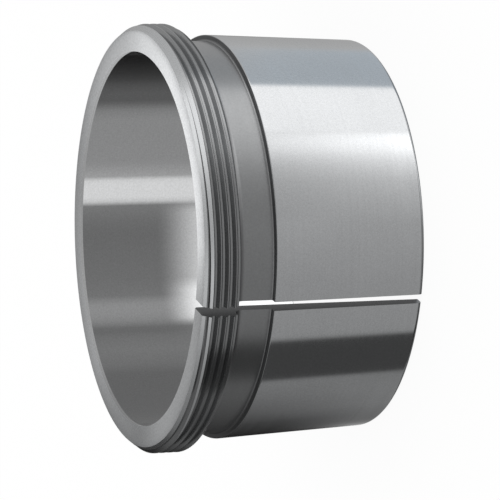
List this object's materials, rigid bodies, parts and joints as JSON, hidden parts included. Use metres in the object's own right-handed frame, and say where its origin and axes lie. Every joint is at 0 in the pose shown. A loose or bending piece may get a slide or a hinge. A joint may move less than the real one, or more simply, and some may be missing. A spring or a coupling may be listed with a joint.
{
  "type": "withdrawal sleeve",
  "caption": "Slit steel sleeve with a plain bore, a tapered outer seat, a relief groove and a threaded collar at the large end.",
  "frame": {"origin": "centre of the small end, on the axis of the bore, where the sleeve stands", "axes": "+Z along the bore axis from the small end to the threaded end face; the slit runs along the -Y side"},
  "size_m": [0.11, 0.11, 0.059],
  "materials": {
    "steel": "turned all over, with a ground taper seat"
  },
  "bodies": {
    "root": {"withdrawal_sleeve": "steel"}
  },
  "joints": []
}
